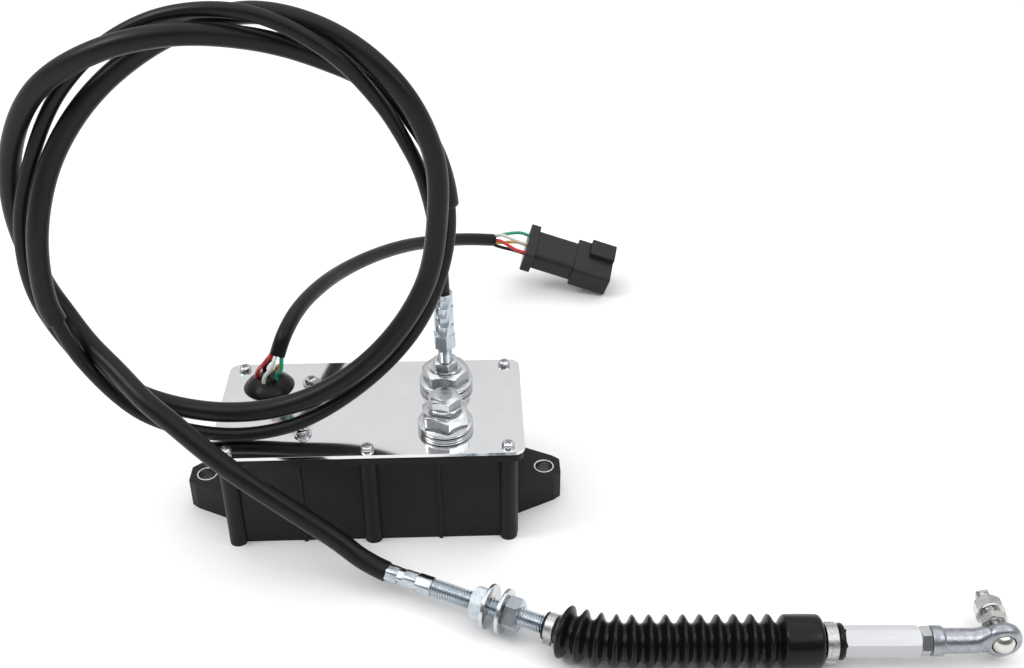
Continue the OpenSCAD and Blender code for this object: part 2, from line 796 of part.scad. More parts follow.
module hub_washers() {
    color("#cfd4d9")
        on_hub()
            for (s = [-32, -23.5])
                difference() {
                    along(s, s + 2, 12);
                    along(s - 1, s + 3, hub_r);
                }
}

module boot_clamp_hub() {
    color("#c7c9cb")
        on_hub()
            difference() {
                union() {
                    along(1.4, 6.1, 7.2);
                    translate([1.4, -2.5, 6]) cube([4.7, 5, 3]);
                }
                along(1, 7, 6.4);
            }
}

module swivel_sleeve() {
    color("#aeb4ba")
        on_rod()
            difference() {
                union() {
                    sphere(r = 5.5);
                    along(4, sleeve_end_u, 3.9);
                }
                along(-8, sleeve_end_u + 2, 2.9);
            }
}

// Folds of the boot as a turned shell with a valley at each end, then a tail of [radius, place]
module folds(n, tail_out = [], tail_in = []) {
    p = boot_pitch;
    t = boot_t;
    outer = [for (k = [0:n - 1]) for (q = [[0.14, boot_valley], [0.38, boot_peak],
        [0.62, boot_peak], [0.86, boot_valley]]) [q[1], (k + q[0]) * p]];
    inner = [for (k = [n - 1:-1:0]) for (q = [[0.86, boot_valley - t], [0.62, boot_peak - t],
        [0.38, boot_peak - t], [0.14, boot_valley - t]]) [q[1], (k + q[0]) * p]];
    end_out = len(tail_out) > 0 ? tail_out : [[boot_valley, n * p - 0.15]];
    end_in = len(tail_in) > 0 ? tail_in : [[boot_valley - t, n * p - 0.15]];
    rotate([0, 90, 0])
        rotate_extrude()
            polygon(concat([[boot_valley, 0.15]], outer, end_out, end_in, inner,
                [[boot_valley - t, 0.15]]));
}

// The thick ring at a valley, where the boot's axis turns
module valley_ring() {
    rotate([0, 90, 0])
        rotate_extrude()
            translate([boot_valley - boot_t - 0.3, -0.6]) square([boot_t + 0.7, 1.2]);
}

module boot() {
    color("#121214") {
        on_hub()
            rotate([0, 90, 0])
                rotate_extrude()
                    polygon([[hub_r + 0.05, 0], [7.2, 0], [7.2, 1.1], [6.4, 1.1],
                        [6.4, neck_s - 0.6], [boot_valley + 0.4, neck_s - 0.6],
                        [boot_valley + 0.4, neck_s + 0.6],
                        [boot_valley - boot_t - 0.3, neck_s + 0.6],
                        [boot_valley - boot_t - 0.3, neck_s + 0.3],
                        [hub_r + 0.05, neck_s + 0.3]]);
        for (k = [0:3])
            translate(fold_at(k)) rotate([0, 0, fold_dir(k)]) folds(1);
        for (k = [1:4])
            translate(fold_at(k)) rotate([0, 0, fold_dir(k) - turn / 2]) valley_ring();
        on_rod()
            translate([straight_u, 0, 0])
                folds(boot_folds - 4,
                    [[boot_peak - 0.2, cuff_u - straight_u + 3],
                    [boot_peak - 0.2, boot_neck_u - straight_u - 1.5],
                    [12.5, boot_neck_u - straight_u], [8, boot_neck_u - straight_u + 1],
                    [8, boot_end_u - straight_u - 2.8], [9.2, boot_end_u - straight_u - 2.8],
                    [9.2, boot_end_u - straight_u]],
                    [[6.05, boot_end_u - straight_u], [6.05, boot_neck_u - straight_u + 0.2],
                    [boot_peak - 2, boot_neck_u - straight_u - 1],
                    [boot_peak - 2, cuff_u - straight_u + 3.5]]);
    }
}

module boot_clamp_rod() {
    color("#c7c9cb")
        on_rod()
            difference() {
                union() {
                    along(boot_neck_u + 1.6, boot_neck_u + 7.4, 9.2);
                    translate([boot_neck_u + 1.6, -3, 8.5]) cube([5.8, 6, 3.4]);
                }
                along(boot_neck_u, boot_neck_u + 9, 8);
            }
}

module slide_rod() {
    color("#b9bdc1")
        on_rod() along(rod_tip_u, hex_u + 12, 2.85);
}

module hex_rod() {
    color("#dcdedf")
        on_rod()
            difference() {
                union() {
                    along(boot_neck_u - 2, hex_u + 0.5, 6);
                    hex_along(hex_u, jam_u, rod_af);
                }
                along(boot_neck_u - 7, hex_u + 12, 2.85);
                along(jam_u - 16, jam_u + 1, 4);
            }
}

module jam_nut() {
    color("#d3d6d8")
        on_rod()
            difference() {
                rotate([10, 0, 0]) hex_along(jam_u, jam_u + 5.5, 13);
                along(jam_u - 1, jam_u + 7, 4);
            }
}

module rod_end() {
    color("#8d9195")
        on_rod()
            difference() {
                union() {
                    along(jam_u - 14, socket_u + 1, 4);
                    along(socket_u, socket_u + 6, 7.8);
                    along(socket_u + 5, eye_u - eye_r + 1.5, 6.4);
                    translate([eye_u, 4.2, 0]) rotate([90, 0, 0]) cylinder(h = 7.4, r = eye_r);
                }
                translate([eye_u, 0, 0]) sphere(r = ball_r + 0.08);
            }
}

module ball_stud() {
    color("#cfd2d5")
        on_rod()
            translate([eye_u, 0, 0]) {
                sphere(r = ball_r);
                rotate([-90, 0, 0]) {
                    translate([0, 0, 4]) cylinder(h = 6, r = 3);
                    translate([0, 0, 9.4]) hexagon(13, 4.6);
                    translate([0, 0, 13.5]) cylinder(h = 12.5, r = 3.95);
                    translate([0, 0, 25]) cylinder(h = 8, r = 3.9);
                }
            }
}

module stud_washer() {
    color("#d2d5d8")
        on_rod()
            translate([eye_u, 17, 0]) rotate([-90, 0, 0])
                difference() {
                    cylinder(h = 1.8, r = 7.6);
                    translate([0, 0, -1]) cylinder(h = 4, r = 3.95);
                }
}

module stud_nut() {
    color("#c9ccd0")
        on_rod()
            translate([eye_u, 18.8, 0]) rotate([-90, 0, 0])
                difference() {
                    hexagon(13, 6.5);
                    translate([0, 0, -1]) cylinder(h = 9, r = 3.95);
                }
}

// A wire's place at angle a on a ring of radius r round c, square to direction d, from side v
function bundle(c, d, v, a, r = 2.6) = let (s = unit(v - (v * d) * d), t = cross(d, s))
    c + r * (cos(a) * s + sin(a) * t);
// The level direction to the left of direction d
function level_left(d) = [-d[1], d[0], 0];
// Angle of slot q's wire where it leaves the sheath for the plug
function slot_angle(q) = q % 2 == 0 ? 90 - 36 * q : 270 + 36 * q;
// Place k of the wires in the grommet, at height z
function lead_up(k, z) = [grommet_x + lead_ring * cos(72 * k + 186),
    grommet_y + lead_ring * sin(72 * k + 186), z];
// Place of the hole in the plug's back for slot q, from its near side
function hole_y(q) = q * 4.4;
function hole_z(q) = plug_mid_z + (q % 2 == 0 ? 3 : -3);
function plug_hole(q) = plug_back + hole_y(q) * plug_left + hole_z(q) * plug_up;

// One wire: k is its place in the bundle, q its slot in the plug
module lead(k, q, inside) {
    d = unit(sheath_points[1] - sheath_points[0]);
    e = unit(sheath_points[11] - sheath_points[10]);
    a = 72 * k + 186;
    g = slot_angle(q);
    // Halfway rings, where the wires close up to the sheath and spread to the plug
    near = sheath_points[0] - 5 * d;
    near_dir = unit(unit(near - [grommet_x, grommet_y, box_h + 10]) + d);
    far = sheath_points[11] + 5 * e;
    far_dir = unit(e + unit(plug_back + plug_mid_z * plug_up - 7 * plug_dir - far));
    bent_wire(concat(inside, [lead_up(k, box_h + 10), bundle(near, near_dir, [1, 0, 0], a, 5),
        bundle(sheath_points[0] - sheath_gap * d, d, [1, 0, 0], a)]));
    bent_wire([bundle(sheath_points[11] + sheath_gap * e, e, level_left(e), g),
        bundle(far, far_dir, level_left(far_dir), g, 4.5),
        plug_hole(q) - 7 * plug_dir, plug_hole(q), plug_hole(q) + 9 * plug_dir]);
}

module wire_red() {
    color("#c8102a")
        lead(0, -2, [[can_x0 - 5.2, -9, axis_z + 5], [can_x0 - 5.2, -9, 54],
            [-70, 8, 54.5], lead_up(0, 56)]);
}

module wire_white() {
    color("#e8e6e0")
        lead(1, 0, [[sensor_pin_x, 0, axis_z - 6.5], [sensor_pin_x, 4, 15], [76.5, 27, 22],
            [66, 30.5, 47], [-50, 30.5, 47], lead_up(1, 55)]);
}

module wire_black() {
    color("#17171a")
        lead(4, -1, [[can_x0 - 5.2, 9, axis_z + 5], [can_x0 - 5.2, 9, 50], [-74, 26, 54],
            lead_up(4, 57)]);
}

module wire_green() {
    color("#1f9a6b")
        lead(2, 2, [[sensor_pin_x, 5, axis_z - 6.5], [76, 23, 35], [66, 24, 45],
            [-40, 26, 46], lead_up(2, 54)]);
}

module wire_yellow() {
    color("#b58a2a")
        lead(3, 1, [[sensor_pin_x, -5, axis_z - 6.5], [76, -26, 40], [70, -26, 56],
            [70, 29, 50], [-50, 29.5, 50], lead_up(3, 55)]);
}

module sheath() {
    color("#18181a")
        cord(sheath_points, [for (p = sheath_points) sheath_r],
            sheath_points[1] - sheath_points[0], sheath_points[11] - sheath_points[10]);
}

module grommet() {
    color("#131315")
        translate([grommet_x, grommet_y, 0])
            difference() {
                union() {
                    intersection() {
                        translate([0, 0, box_h + 8 - 17.14]) sphere(r = 17.14);
                        translate([0, 0, box_h]) cylinder(h = 9, r = grommet_r);
                    }
                    translate([0, 0, cover_z - 1]) cylinder(h = plate_t + 1.5, r = grommet_neck_r);
                    translate([0, 0, cover_z - 3]) cylinder(h = 3, r = 13.5);
                }
                for (k = [0:4])
                    translate(lead_up(k, 40) - [grommet_x, grommet_y, 0])
                        cylinder(h = 40, r = lead_r);
            }
}

// Things placed in the plug's own frame, with X from its back and Z up from its underside
module in_plug() {
    translate(plug_back) rotate(plug_turn) children();
}

// Contact pin k between two places on X: two rows of three
module pin(k, x0, x1) {
    translate([0, (k % 3 - 1) * 7.2, plug_mid_z + (k < 3 ? -3.4 : 3.4)]) along(x0, x1, 1);
}

module plug_body() {
    color("#2b2c2f")
        in_plug()
            difference() {
                union() {
                    translate([0, -plug_b / 2, 0]) cube([7.2, plug_b, plug_h]);
                    translate([7, 2.5 - plug_b / 2, 1.3])
                        cube([plug_step - 1, plug_b - 5, plug_h - 2.6]);
                }
                for (q = [-2:2])
                    translate([0, hole_y(q), hole_z(q)]) along(-5, 9, lead_r);
                for (k = [0:5]) pin(k, plug_step - 8, plug_step + 10);
            }
}

module plug_shell() {
    color("#232427")
        in_plug()
            difference() {
                union() {
                    translate([plug_step, -plug_b / 2, 0])
                        cube([plug_l - plug_step, plug_b, plug_h]);
                    translate([46.5, 1, plug_h - 0.5]) cube([plug_l - 46.5, 14.8, 4.3]);
                }
                translate([plug_step - 1, 2.5 - plug_b / 2, 1.3])
                    cube([7, plug_b - 5, plug_h - 2.6]);
                translate([plug_step + 5.5, 3 - plug_b / 2, 2.3])
                    cube([40, plug_b - 6, plug_h - 4.6]);
            }
}

module plug_pins() {
    color("#c9a54a")
        in_plug() for (k = [0:5]) pin(k, plug_step - 8, plug_step + 17);
}

housing();
ear_bushes();
gasket();
cover_plate();
cover_screws();
strap_screws();
strap_washers();
motor_strap();
motor_pad();
motor();
motor_end_bell();
gearhead();
gearhead_screws();
bracket();
output_shaft();
drum();
drum_key();
wire_end();
shaft_bush();
position_sensor();
sensor_screws();
core_wire();
port_locknuts();
port_bush_rear();
port_bush_front();
port_washers();
port_seals();
port_nuts();
port_ring();
blank_bolt();
blank_nut();
conduit_stud();
stud_nut_rear();
conduit();
hub();
hub_nuts();
hub_washers();
boot_clamp_hub();
swivel_sleeve();
boot();
boot_clamp_rod();
slide_rod();
hex_rod();
jam_nut();
rod_end();
ball_stud();
stud_nut();
stud_washer();
grommet();
wire_red();
wire_white();
wire_black();
wire_green();
wire_yellow();
sheath();
plug_body();
plug_shell();
plug_pins();
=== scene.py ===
import bpy
import bmesh
import math
from mathutils import Vector, Matrix


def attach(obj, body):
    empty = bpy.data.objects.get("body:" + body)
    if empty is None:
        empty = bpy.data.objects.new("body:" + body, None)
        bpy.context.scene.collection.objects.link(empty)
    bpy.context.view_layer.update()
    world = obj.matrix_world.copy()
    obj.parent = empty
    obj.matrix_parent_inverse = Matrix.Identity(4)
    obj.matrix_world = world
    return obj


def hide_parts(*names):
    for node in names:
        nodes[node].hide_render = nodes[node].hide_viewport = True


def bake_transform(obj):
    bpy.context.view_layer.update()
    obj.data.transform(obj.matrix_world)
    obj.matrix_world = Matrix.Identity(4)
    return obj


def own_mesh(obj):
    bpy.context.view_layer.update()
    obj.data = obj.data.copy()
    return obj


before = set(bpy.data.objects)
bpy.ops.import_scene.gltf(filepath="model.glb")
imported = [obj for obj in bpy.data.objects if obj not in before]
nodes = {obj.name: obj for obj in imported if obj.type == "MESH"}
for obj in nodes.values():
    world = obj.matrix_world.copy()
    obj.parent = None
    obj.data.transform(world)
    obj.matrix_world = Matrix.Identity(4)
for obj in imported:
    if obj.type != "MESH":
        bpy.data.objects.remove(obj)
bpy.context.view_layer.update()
MM = 0.001
cos = lambda d: math.cos(math.radians(d))
sin = lambda d: math.sin(math.radians(d))

# ---------- camera ----------
cameraData = bpy.data.cameras.new("camera")
cameraData.sensor_width = 36
cameraData.lens = 43.95
camera = bpy.data.objects.new("camera", cameraData)
camera.location = (0.05898, -0.56885, 0.48576)
camera.rotation_euler = (math.radians(56.64), 0, math.radians(-2.052))
bpy.context.scene.collection.objects.link(camera)
bpy.context.scene.camera = camera

# ---------- materials ----------
def material(name, color, metallic=0.0, rough=0.4, roughSpread=0.08, grain=400.0, bump=0.05,
             bumpGrain=None, shade=0.12, stretch=(1, 1, 1), specular=0.5):
    mat = bpy.data.materials.new(name)
    mat.use_nodes = True
    tree = mat.node_tree
    shader = tree.nodes["Principled BSDF"]
    shader.inputs["Metallic"].default_value = metallic
    shader.inputs["Specular IOR Level"].default_value = specular
    coords = tree.nodes.new("ShaderNodeTexCoord")
    place = tree.nodes.new("ShaderNodeMapping")
    place.inputs["Scale"].default_value = stretch
    tree.links.new(coords.outputs["Object"], place.inputs["Vector"])

    def noise(scale, detail):
        n = tree.nodes.new("ShaderNodeTexNoise")
        n.inputs["Scale"].default_value = scale
        n.inputs["Detail"].default_value = detail
        tree.links.new(place.outputs["Vector"], n.inputs["Vector"])
        return n.outputs["Fac"]

    def spread(source, low, high):
        m = tree.nodes.new("ShaderNodeMapRange")
        m.inputs["From Min"].default_value = 0.3
        m.inputs["From Max"].default_value = 0.7
        m.inputs["To Min"].default_value = low
        m.inputs["To Max"].default_value = high
        tree.links.new(source, m.inputs["Value"])
        return m.outputs["Result"]

    wide = noise(grain * 0.15, 3)
    tree.links.new(spread(wide, rough - roughSpread, rough + roughSpread), shader.inputs["Roughness"])
    mix = tree.nodes.new("ShaderNodeMix")
    mix.data_type = "RGBA"
    mix.inputs[6].default_value = (*[c * (1 - shade) for c in color], 1)
    mix.inputs[7].default_value = (*[min(1, c * (1 + shade)) for c in color], 1)
    tree.links.new(spread(noise(grain * 0.4, 4), 0, 1), mix.inputs["Factor"])
    tree.links.new(mix.outputs[2], shader.inputs["Base Color"])
    if bump:
        b = tree.nodes.new("ShaderNodeBump")
        b.inputs["Strength"].default_value = bump
        b.inputs["Distance"].default_value = 0.0002
        tree.links.new(noise(bumpGrain or grain * 4, 5), b.inputs["Height"])
        tree.links.new(b.outputs["Normal"], shader.inputs["Normal"])
    return mat

materials = {
    "blackPlastic": material("black_plastic", (0.0085, 0.0085, 0.0102), rough=0.46, grain=300, bump=0.2,
                             bumpGrain=2600, specular=0.2),
    "mirrorSteel": material("mirror_steel", (0.77, 0.775, 0.78), metallic=1, rough=0.11, roughSpread=0.03,
                            grain=120, bump=0.02, shade=0.03),
    "zinc": material("bright_zinc", (0.60, 0.61, 0.62), metallic=1, rough=0.18, roughSpread=0.07, grain=900,
                     bump=0.12, shade=0.1),
    "blueZinc": material("blue_zinc", (0.50, 0.55, 0.59), metallic=1, rough=0.24, roughSpread=0.08, grain=900,
                         bump=0.12, shade=0.1),
    "steel": material("machined_steel", (0.5, 0.51, 0.52), metallic=1, rough=0.32, grain=700, bump=0.1),
    "clampSteel": material("galvanised_steel", (0.47, 0.48, 0.48), metallic=1, rough=0.3, roughSpread=0.1,
                           grain=1600, bump=0.25, shade=0.2, stretch=(1, 3, 1)),
    "aluminium": material("plain_aluminium", (0.48, 0.485, 0.50), metallic=1, rough=0.2, roughSpread=0.05,
                          grain=500, bump=0.06, shade=0.03, stretch=(0.15, 2, 2)),
    "castGrey": material("cast_zinc", (0.34, 0.355, 0.385), metallic=1, rough=0.28, roughSpread=0.1, grain=900,
                         bump=0.4, bumpGrain=2200, shade=0.16),
    "nickel": material("polished_nickel", (0.66, 0.65, 0.62), metallic=1, rough=0.12, roughSpread=0.03,
                       grain=300, bump=0.02, shade=0.04),
    "brass": material("machined_brass", (0.62, 0.43, 0.16), metallic=1, rough=0.3, grain=500, bump=0.1),
    "rubber": material("black_rubber", (0.0045, 0.0045, 0.005), rough=0.27, roughSpread=0.06, grain=350,
                       bump=0.08, bumpGrain=1500, specular=0.21),
    "gasketRubber": material("gasket_rubber", (0.004, 0.004, 0.004), rough=0.5, grain=350, bump=0.1,
                             specular=0.15),
    "cableBlack": material("cable_black", (0.0062, 0.0062, 0.0074), rough=0.36, roughSpread=0.06, grain=260,
                           bump=0.08, bumpGrain=1300, specular=0.22),
    "greyPlastic": material("grey_plastic", (0.020, 0.0205, 0.0225), rough=0.4, grain=300, bump=0.15,
                            bumpGrain=2400, specular=0.2),
    "redPvc": material("red_pvc", (0.55, 0.03, 0.035), rough=0.34, grain=500, bump=0.05, shade=0.06),
    "whitePvc": material("white_pvc", (0.74, 0.73, 0.70), rough=0.36, grain=500, bump=0.05, shade=0.04),
    "greenPvc": material("green_pvc", (0.02, 0.33, 0.21), rough=0.34, grain=500, bump=0.05, shade=0.06),
    "yellowPvc": material("yellow_pvc", (0.62, 0.42, 0.06), rough=0.34, grain=500, bump=0.05, shade=0.06),
    "blackPvc": material("black_pvc", (0.006, 0.006, 0.006), rough=0.34, grain=500, bump=0.05, specular=0.25),
}
print("stage: materials")

# ---------- routes, as part.scad has them ----------
hubAngle, rodAngle, rodHeight = -26.6, -1.6, 14
pitch, folds, neck = 8.5, 13, 7
turn = (rodAngle - hubAngle) / 4
hubTip = Vector((91.8, -121.5, rodHeight))
hubDir = Vector((cos(hubAngle), sin(hubAngle), 0))
rodDir = Vector((cos(rodAngle), sin(rodAngle), 0))
chord = math.hypot(sum(pitch * cos(turn * k) for k in (1, 2, 3)),
                   sum(pitch * sin(turn * k) for k in (1, 2, 3)))
bend = chord / 2 / cos(2 * turn)
swivelAt = neck + pitch + bend
swivel = hubTip + swivelAt * hubDir
cuff = bend + (folds - 4) * pitch
bootNeck = cuff + 22
bootEnd = bootNeck + 11
jam = bootEnd + 38
socket = jam + 5.5
eye = socket + 36.5
hose, threadStart = -91, -64.3

port = (42, 20)
coilMid = (-60, 184)
coil = [(20, 94, 10), (40, 97.5, 1), (60, 105, -5), (80, 110, -3), (100, 109, 2), (120, 106, 6), (140, 104, 5),
        (160, 103.5, 0), (180, 109, -3), (200, 117, -4), (220, 122, -6), (225, 121, -8), (226, 120.5, -8.5),
        (240, 116.5, -14), (260, 107, -22), (280, 103, -22), (300, 100, -19), (320, 99, -14), (340, 100, -9),
        (360, 101, -7), (380, 107, -5), (400, 111, -3), (420, 110, 5), (440, 106, 10.5), (460, 98, 11),
        (480, 93, 8), (500, 92, 3), (520, 94, -4), (540, 98, -13), (560, 107, -15), (567, 109.5, -15.5),
        (568, 110, -16), (580, 115, -17.5), (600, 119.5, -25), (620, 117, -28.5), (640, 113.5, -26.5),
        (660, 112, -13), (680, 111, -1), (700, 108, 3), (720, 107, 6), (721, 107, 6.2), (740, 105, 9),
        (760, 99.5, 14.5), (780, 94.5, 10.5), (800, 96.5, 1), (820, 103, -10), (840, 108, -10), (860, 113, -3),
        (880, 114.5, 5), (900, 115.5, 9.5), (920, 116, 9)]
leadIn = [(42, 20, 105), (42, 20, 128), (41, 20, 150), (39, 19, 168), (36.8, 17, 184), (33, 13.5, 202)]
leadOut = [(-159.5, 4.5, 127), (-147, -7, 116), (-130, -22, 107), (-112, -39, 98.5), (-98, -47, 90),
           (-84, -54, 80), (-69, -60, 69), (-52, -64, 56), (-34, -67, 42), (-16, -70.5, 28), (-3, -75, 18.5)]
hoseEnd = hubTip + hose * hubDir
# rows a degree apart are a step in the cable's thickness, so the curve leaves out the second of each
stepRows = (226, 568, 721)
coilRows = [row for row in coil if row[0] not in stepRows]
coilPoints = [Vector((coilMid[0] + r * cos(a), y, coilMid[1] + r * sin(a))) for a, r, y in coilRows]
coilAngles = [a for a, r, y in coilRows]
cablePoints = [Vector(p) for p in leadIn] + coilPoints + [Vector(p) for p in leadOut] + [hoseEnd]
sheathPoints = [Vector(p) for p in (
    (-53, 20, 86.4), (-49.4, 25, 95.2), (-45.2, 36, 100.3), (-40, 54, 100.6), (-32, 79, 97.1), (-22.1, 107, 90.4),
    (-7.6, 137, 82.4), (9.4, 165, 73.5), (25.2, 187, 64.6), (47.2, 211, 53.3), (59.5, 222.5, 46.9),
    (73.3, 233, 40.3))]

def spline(points, steps, first=None, last=None):
    # centripetal curve through the points, cut into this many steps between each two
    before = points[0] - (first or (points[1] - points[0]))
    after = points[-1] + (last or (points[-1] - points[-2]))
    pts = [before] + list(points) + [after]
    out = []
    for k in range(1, len(pts) - 2):
        p0, p1, p2, p3 = pts[k - 1:k + 3]
        t = [0.0]
        for a, b in ((p0, p1), (p1, p2), (p2, p3)):
            t.append(t[-1] + max(1e-4, (b - a).length ** 0.5))
        for s in range(steps):
            u = t[1] + (t[2] - t[1]) * s / steps
            a1 = p0.lerp(p1, (u - t[0]) / (t[1] - t[0]))
            a2 = p1.lerp(p2, (u - t[1]) / (t[2] - t[1]))
            a3 = p2.lerp(p3, (u - t[2]) / (t[3] - t[2]))
            b1 = a1.lerp(a2, (u - t[0]) / (t[2] - t[0]))
            b2 = a2.lerp(a3, (u - t[1]) / (t[3] - t[1]))
            out.append(b1.lerp(b2, (u - t[1]) / (t[2] - t[1])))
    return out + [points[-1].copy()]

def lineLength(points):
    return sum((b - a).length for a, b in zip(points, points[1:]))

# ---------- builders ----------
def link(obj, mat, body, slotName=None, stands=()):
    bpy.context.scene.collection.objects.link(obj)
    obj.data.materials.append(materials[mat])
    if body:
        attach(obj, body)
    if stands:
        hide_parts(*stands)
    return obj

def meshPiece(name, verts, faces, mat, body, slotName=None, stands=(), angle=32, place=None):
    mesh = bpy.data.meshes.new(name)
    place = place or Matrix.Identity(4)
    mesh.from_pydata([(place @ Vector(v)) * MM for v in verts], [], faces)
    bm = bmesh.new()
    bm.from_mesh(mesh)
    bmesh.ops.recalc_face_normals(bm, faces=bm.faces)
    bm.to_mesh(mesh)
    bm.free()
    mesh.shade_smooth()
    mesh.set_sharp_from_angle(angle=math.radians(angle))
    return link(bpy.data.objects.new(name, mesh), mat, body, slotName, stands)

def curvePiece(name, runs, radius, mat, body, slotName=None, stands=(), sides=6):
    curve = bpy.data.curves.new(name, "CURVE")
    curve.dimensions = "3D"
    curve.bevel_depth = radius * MM
    curve.bevel_resolution = sides
    curve.use_fill_caps = True
    for run in runs:
        s = curve.splines.new("POLY")
        s.points.add(len(run) - 1)
        for p, v in zip(s.points, run):
            p.co = (*(v * MM), 1)
        s.use_smooth = True
    return link(bpy.data.objects.new(name, curve), mat, body, slotName, stands)

def rings(loops, closed=False, caps=True):
    # faces between loops of equally many vertices
    n = len(loops[0])
    verts = [p for loop in loops for p in loop]
    faces = []
    for k in range(len(loops) - (0 if closed else 1)):
        a, b = k * n, ((k + 1) % len(loops)) * n
        faces += [(a + i, a + (i + 1) % n, b + (i + 1) % n, b + i) for i in range(n)]
    if caps and not closed:
        faces += [tuple(range(n - 1, -1, -1)), tuple(range((len(loops) - 1) * n, len(loops) * n))]
    return verts, faces

def loopAt(x, radius, segments):
    # vertices round the X axis, radius is a function of the angle
    angles = [360 * i / segments for i in range(segments)]
    return [(x, radius(a) * cos(a), radius(a) * sin(a)) for a in angles]

def turned(profile, segments=48, shape=None, closed=False):
    # a turned shape on +X: profile is (place, radius), shape changes a radius by angle
    shape = shape or (lambda r, a: r)
    return rings([loopAt(x, lambda a: shape(r, a), segments) for x, r in profile], closed)

def join(*parts):
    verts, faces = [], []
    for v, f in parts:
        faces += [tuple(i + len(verts) for i in face) for face in f]
        verts += v
    return verts, faces

def moved(part, matrix):
    return [tuple(matrix @ Vector(v)) for v in part[0]], part[1]

def thread(start, end, radius, depth, step, segments=40):
    # a helical thread on +X with run-outs at both ends
    count = max(4, int((end - start) / step * 8))
    core = lambda a: radius - depth
    loops = [loopAt(start, core, segments)]
    for k in range(count + 1):
        x = start + (end - start) * k / count
        fade = min(1, (x - start) / step, (end - x) / step)
        loop = []
        for i in range(segments):
            phase = (x / step - i / segments) % 1
            rise = max(0, min(1, 1.25 * (1 - abs(2 * phase - 1)) - 0.12))
            r = radius - depth + depth * rise * max(0, fade)
            loop.append((x, r * cos(360 * i / segments), r * sin(360 * i / segments)))
        loops.append(loop)
    loops.append(loopAt(end, core, segments))
    return rings(loops)

def hexNut(start, flats, height, bore, chamfer=(True, True), segments=72, roll=0):
    # a hexagon on +X whose corners are turned off by a 30 degree cone
    half = flats / 2
    crown = half * 0.97
    coneSlope = 0.577
    end = start + height
    ring = lambda x, r: loopAt(x, lambda a: r, segments)
    hexAt = lambda a: half / cos((a - roll) % 60 - 30)
    cut = lambda a: (hexAt(a) - crown) * coneSlope

    def corners(x, inward):
        angles = [360 * i / segments for i in range(segments)]
        return [(x + inward * cut(a), hexAt(a) * cos(a), hexAt(a) * sin(a)) for a in angles]

    loops = [ring(start + 0.5, bore), ring(start, bore + 0.5)]
    loops += [ring(start, crown), corners(start, 1)] if chamfer[0] else [corners(start, 0)]
    loops += [corners(end, -1), ring(end, crown)] if chamfer[1] else [corners(end, 0)]
    loops += [ring(end, bore + 0.5), ring(end - 0.5, bore)]
    return rings(loops, closed=True)

def washer(start, thick, outer, bore, edge=0.3, segments=64):
    end = start + thick
    return turned([(start + 0.2, bore), (start, bore + 0.2), (start, outer - edge),
                   (start + edge * 0.3, outer - edge * 0.3), (start + edge, outer), (end - edge, outer),
                   (end - edge * 0.3, outer - edge * 0.3), (end, outer - edge), (end, bore + 0.2),
                   (end - 0.2, bore)], segments, closed=True)

def crimped(start, sections, segments=48):
    # pressed shell: each section is (length, radius, roll, flats), with flats pressed into a round tube
    loops = []
    x = start
    for length, radius, roll, flats in sections:
        step = 360 / flats
        face = lambda a: min(radius, radius * 0.93 / cos((a - roll) % step - step / 2))
        for along, grow in ((0.0, 0.985), (0.06, 1), (0.94, 1), (1.0, 0.985)):
            loops.append(loopAt(x + length * along, lambda a: face(a) * grow, segments))
        x += length
    return rings(loops)

upright = lambda x, y: Matrix.Translation((x, y, 0)) @ Matrix.Rotation(math.radians(-90), 4, "Y")
onHub = Matrix.Translation(hubTip) @ Matrix.Rotation(math.radians(hubAngle), 4, "Z")
onRod = Matrix.Translation(swivel) @ Matrix.Rotation(math.radians(rodAngle), 4, "Z")
onStud = onRod @ Matrix.Translation((eye, 0, 0)) @ Matrix.Rotation(math.radians(90), 4, "Z")

# ---------- cords ----------
cableSteps = 12
cableRadius, sleeveBore, sleeveRadius, sheathRadius = 3.75, 3.8, 5.5, 4.5
cableLine = spline(cablePoints, cableSteps, Vector((0, 0, 20)), hubDir * 18)
cable = curvePiece("main_cable", [cableLine], cableRadius, "cableBlack", "casing", "cable_black", ["conduit"],
                   sides=7)

def carried(line):
    # direction and two crosswise axes at each point, turned along without twist
    side = Vector((1, 0, 0))
    out = []
    for k, p in enumerate(line):
        d = (line[min(k + 1, len(line) - 1)] - line[max(k - 1, 0)]).normalized()
        side = (side - side.dot(d) * d).normalized()
        out.append((d, side, d.cross(side)))
    return out

def sleeveOn(name, line, inner, outer, endRound=0.8):
    # a sleeve over the cable, with softly rounded ends that grip it
    frames = carried(line)
    rounding = ((0.0, outer - endRound), (0.25, outer - endRound * 0.35), (0.8, outer))

    def loop(p, f, r, n=28):
        return [tuple(p + r * (cos(360 * i / n) * f[1] + sin(360 * i / n) * f[2])) for i in range(n)]

    loops = [loop(line[0], frames[0], inner)]
    loops += [loop(line[0] + frames[0][0] * s, frames[0], r) for s, r in rounding]
    loops += [loop(line[k], frames[k], outer) for k in range(1, len(line) - 1)]
    loops += [loop(line[-1] - frames[-1][0] * s, frames[-1], r) for s, r in reversed(rounding)]
    loops.append(loop(line[-1], frames[-1], inner))
    verts, faces = rings(loops, caps=False)
    return meshPiece(name, verts, faces, "cableBlack", "casing", "cable_black", angle=50)

at = lambda angle: cableSteps * (len(leadIn) + coilAngles.index(angle))
sleeveA = sleeveOn("cable_sleeve_upper", cableLine[at(225):at(567) + 1], sleeveBore, sleeveRadius)
sleeveB = sleeveOn("cable_sleeve_lower", cableLine[at(720) + 1:], sleeveBore, sleeveRadius)

sheathLine = spline(sheathPoints, 10)
sheath = curvePiece("harness_sheath", [sheathLine], sheathRadius, "cableBlack", "casing", "cable_black",
                    ["sheath"], sides=7)
print("stage: cords")

